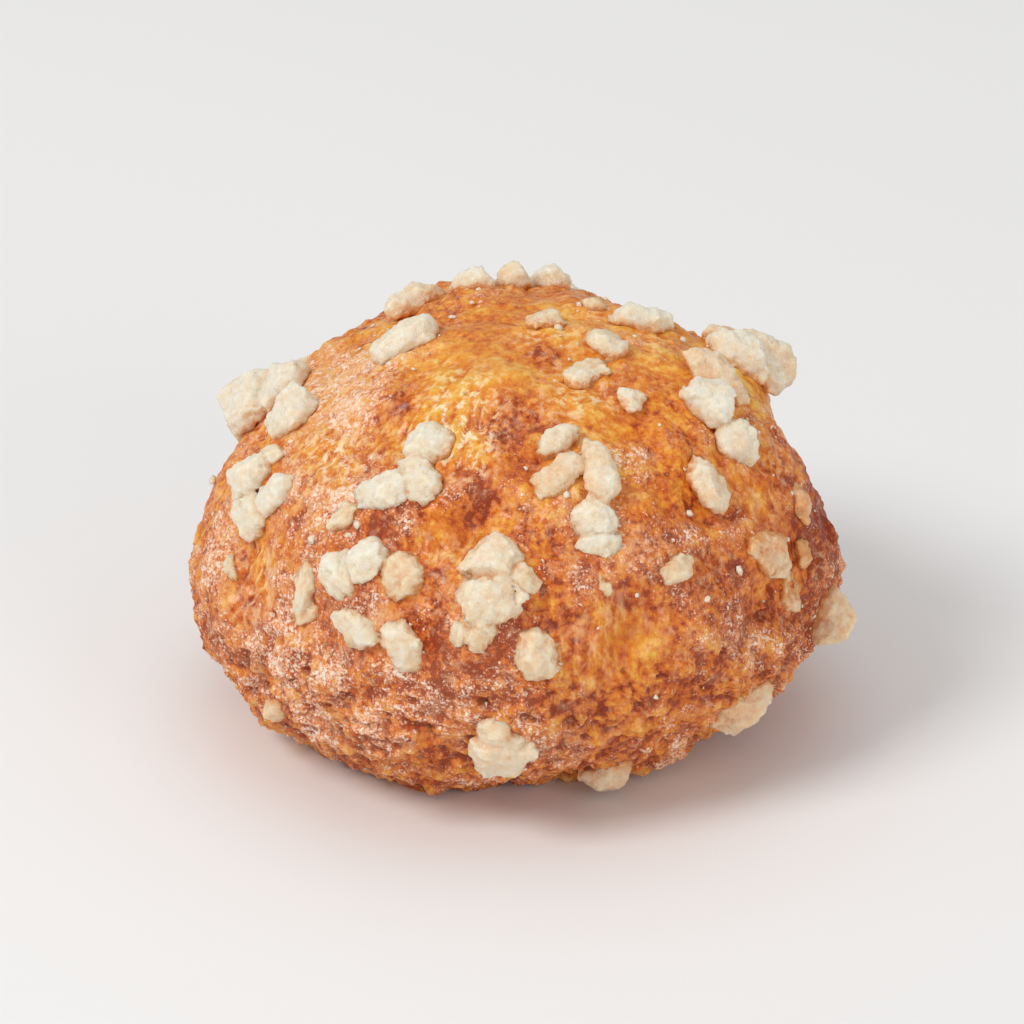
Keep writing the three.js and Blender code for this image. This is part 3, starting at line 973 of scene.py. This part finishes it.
def crust_material(speckle):
    material, tree, shader = new_material("baked_crust")
    place = tree.nodes.new("ShaderNodeTexCoord").outputs["Object"]
    brown, coarse, pale, frost, skin, hollow_shade, crest_light = (
        add_layer(tree, name) for name in ("brown", "coarse", "pale", "frost", "skin", "hollow_shade", "crest_light"))

    # Browning in blots, flecks and grains, stronger where the crust is coarse
    mottle = add_swing(tree, place, MOTTLE)
    flecks = add_swing(tree, place, FLECKS)
    grain = add_swing(tree, place, GRAIN)
    blots = add_sum(tree, add_math(tree, "ADD", flecks, grain), (mottle, 0.36))
    blots = add_math(tree, "MULTIPLY", blots, add_sum(tree, 0.2, (coarse, 1.5)))
    blots = add_math(tree, "MAXIMUM", blots, MOST_PALED)
    specks = add_sum(tree, -0.35, (flecks, 5.0), clamp=True)
    specks = add_math(tree, "MULTIPLY", specks, add_sum(tree, -0.45, (coarse, 0.7), clamp=True))
    stretch = {"Vector": place, "Scale": STREAK_STRETCH}
    along = add_node(tree, "ShaderNodeMapping", stretch).outputs["Vector"]
    streaks = add_noise(tree, along, STREAKS)
    fibres = add_math(tree, "SUBTRACT", streaks, 0.5)
    browned = add_sum(tree, brown, (blots, 1.0), (specks, 0.5), (fibres, -0.8))
    # Painted shade darkens the hollows and the skin's edges, and painted light pales the crests
    browned = add_sum(tree, browned, (hollow_shade, 0.45), (crest_light, -0.2))
    colour = add_ramp(tree, browned, CRUST_COLOURS)

    # Pale streaks where the crust stretched, painted partly as highlights glinting on the glaze
    stretched = add_sum(tree, -3.4, (streaks, 7.0), clamp=True)
    colour = add_mix(tree, add_math(tree, "MULTIPLY", pale, stretched), colour, PALE_STREAK_AND_HIGHLIGHT)

    # A thin veil of melted sugar in drifts
    shift = {"Vector": place, "Location": VEIL_PLACE}
    elsewhere = add_node(tree, "ShaderNodeMapping", shift).outputs["Vector"]
    drift = add_swing(tree, elsewhere, DRIFT)
    dusting = add_math(tree, "MULTIPLY", add_swing(tree, elsewhere, DUSTING), coarse)
    veil = add_sum(tree, -0.14, (drift, 1.6), (frost, 0.2), (dusting, 1.6), clamp=True)
    colour = add_mix(tree, veil, colour, SUGAR_VEIL)

    # Frost of fine and large grains, crowded on the flecks and crests
    bloom = add_math(tree, "MULTIPLY", add_math(tree, "MULTIPLY", frost, skin), BLOOM_COVER)
    colour = add_mix(tree, bloom, colour, FROST_BLOOM)
    crowd = add_sum(tree, 0.0, (mottle, 0.58), (flecks, 1.1), (crest_light, 0.25), (hollow_shade, -0.15))
    amount = add_sum(tree, -0.02, (crowd, 1.0), (frost, 0.9))
    fine_grains = add_speckle(tree, speckle, place, FINE_GRAINS, amount)
    amount = add_sum(tree, -0.14, (crowd, 1.0), (frost, 0.8))
    large_grains = add_speckle(tree, speckle, place, LARGE_GRAINS, amount)
    cover = add_math(tree, "MULTIPLY", fine_grains, FINE_GRAIN_COVER)
    colour = add_mix(tree, cover, colour, FINE_GRAIN)
    cover = add_math(tree, "MULTIPLY", large_grains, LARGE_GRAIN_COVER)
    colour = add_mix(tree, cover, colour, LARGE_GRAIN)
    tree.links.new(colour, shader.inputs["Base Color"])

    # Egg wash shines on the bare crust, the skin is duller, and the large grains glint
    tree.links.new(add_sum(tree, CRUST_ROUGHNESS, (skin, 0.2)), shader.inputs["Roughness"])
    glaze = add_sum(tree, EGG_WASH, (skin, -0.2), (large_grains, 0.4), clamp=True)
    tree.links.new(glaze, shader.inputs["Coat Weight"])
    shader.inputs["Coat Roughness"].default_value = EGG_WASH_ROUGHNESS
    shader.inputs["Specular IOR Level"].default_value = CRUST_REFLECTION
    rough = add_math(tree, "MULTIPLY", grain, add_sum(tree, 0.3, (skin, 0.3)))
    tree.links.new(add_bump(tree, rough, CRUST_BUMP), shader.inputs["Normal"])
    return material


def sugar_material(speckle, name, glow):
    material, tree, shader = new_material(name)
    place = tree.nodes.new("ShaderNodeTexCoord").outputs["Object"]
    height, soak_and_shade = add_layer(tree, "height"), add_layer(tree, "soak_and_shade")

    # Warmer in clouds, where syrup went in, where a nib is thin, and along its ragged rim, and with
    # painted shade on the lower right nibs and in the joints between nibs
    cloud = add_swing(tree, place, SUGAR_CLOUD)
    thin = add_sum(tree, 0.8, (height, -0.6), clamp=True)
    edge = add_sum(tree, height, (add_swing(tree, place, SUGAR_RAGGED), 1.6))
    rim = add_sum(tree, 1.0, (edge, -2.2), clamp=True)
    warm = add_sum(tree, 0.05, (cloud, 1.2), (soak_and_shade, 0.6), (thin, 0.4), (rim, 0.6))
    tree.links.new(add_ramp(tree, warm, SUGAR_COLOURS), shader.inputs["Base Color"])

    # A crumbly surface with grains that shine a little more
    grains = add_speckle(tree, speckle, place, NIB_GRAINS, NIB_GRAIN_AMOUNT)
    tree.links.new(add_sum(tree, SUGAR_ROUGHNESS, (grains, -0.2)), shader.inputs["Roughness"])
    crumbly = add_sum(tree, add_noise(tree, place, SUGAR_CRUMBLY), (grains, 0.4))
    tree.links.new(add_bump(tree, crumbly, SUGAR_BUMP), shader.inputs["Normal"])
    shader.inputs["Subsurface Weight"].default_value = glow
    shader.inputs["Subsurface Radius"].default_value = SUGAR_GLOW_DEPTHS
    shader.inputs["Subsurface Scale"].default_value = SUGAR_GLOW_REACH * MM
    return material


def make_floor():
    material, _, shader = new_material("pale_floor")
    shader.inputs["Base Color"].default_value = (FLOOR_GREY, FLOOR_GREY, FLOOR_GREY, 1)
    shader.inputs["Roughness"].default_value = FLOOR_ROUGHNESS
    mesh = bpy.data.meshes.new("floor")
    bm = bmesh.new()
    bmesh.ops.create_grid(bm, x_segments=1, y_segments=1, size=FLOOR_HALF_WIDTH)
    bm.to_mesh(mesh)
    bm.free()
    mesh.materials.append(material)
    floor = bpy.data.objects.new("floor", mesh)
    bpy.context.scene.collection.objects.link(floor)


def add_light(name, place, target, width, power, colour):
    light = bpy.data.lights.new(name, "AREA")
    light.shape = "DISK"
    light.size = width
    light.energy = power
    light.color = colour
    lamp = bpy.data.objects.new(name, light)
    lamp.location = place
    lamp.rotation_euler = (Vector(target) - Vector(place)).to_track_quat("-Z", "Y").to_euler()
    bpy.context.scene.collection.objects.link(lamp)


def make_studio():
    target = Vector((0, 0, LIGHT_TARGET_HEIGHT * MM))
    for name, (place, width, power, colour) in LIGHTS.items():
        add_light(name, place, target, width, power, colour)
    world = bpy.data.worlds.new("studio")
    world.use_nodes = True
    sky = world.node_tree.nodes["Background"].inputs
    sky["Color"].default_value = (1, 1, 1, 1)
    sky["Strength"].default_value = SKY_STRENGTH
    bpy.context.scene.world = world
    bpy.context.scene.view_settings.view_transform = "Standard"


def make_camera():
    target = Vector((0, 0, CAMERA_TARGET_HEIGHT * MM))
    lens = bpy.data.cameras.new("camera")
    lens.lens = CAMERA_LENS
    lens.clip_start = CAMERA_NEAREST * MM
    camera = bpy.data.objects.new("camera", lens)
    rise = math.radians(SHOWN_FROM_RISE)
    camera.location = target + CAMERA_DISTANCE * MM * Vector((0, -math.cos(rise), math.sin(rise)))
    camera.rotation_euler = (target - camera.location).to_track_quat("-Z", "Y").to_euler()
    bpy.context.scene.collection.objects.link(camera)
    bpy.context.scene.camera = camera


make_camera()
make_studio()
make_floor()
speckle = speckle_group()
crust = make_crust(crust_material(speckle))
nibs, nib_places = make_nibs(sugar_material(speckle, "pearl_sugar", SUGAR_GLOW))
make_crumbs(sugar_material(speckle, "sugar_crumb", 0.0), nib_places)
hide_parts("chouquette")
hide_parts("chouquette")
